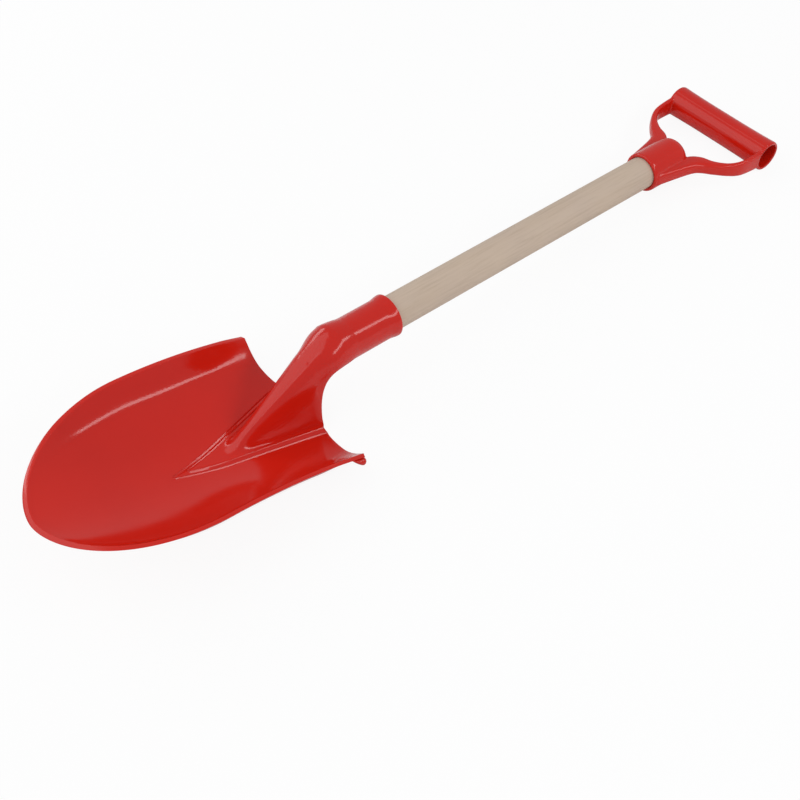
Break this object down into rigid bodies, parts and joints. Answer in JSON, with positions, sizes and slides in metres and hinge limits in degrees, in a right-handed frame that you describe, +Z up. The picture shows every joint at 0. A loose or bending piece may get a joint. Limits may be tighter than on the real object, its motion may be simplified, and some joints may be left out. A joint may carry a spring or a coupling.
{
  "type": "toy sand shovel",
  "caption": "Child's sand shovel: moulded round-nosed scoop with a raised V and open neck, round wooden shaft and moulded D-shaped grip with a hollow bar.",
  "frame": {"origin": "on the ground below the middle of the shovel's bounding box, with the shovel lying on its heel and its grip", "axes": "+X from the tip of the blade to the grip, +Y across the blade, +Z up out of the hollow of the blade"},
  "size_m": [0.5596, 0.1244, 0.0529],
  "materials": {
    "moulding": "gloss",
    "dowel": "bare sanded",
    "nails": "bright"
  },
  "bodies": {
    "root": {"blade": "moulding", "shaft": "dowel", "grip": "moulding", "blade_nail": "nails", "grip_nail": "nails"}
  },
  "joints": []
}
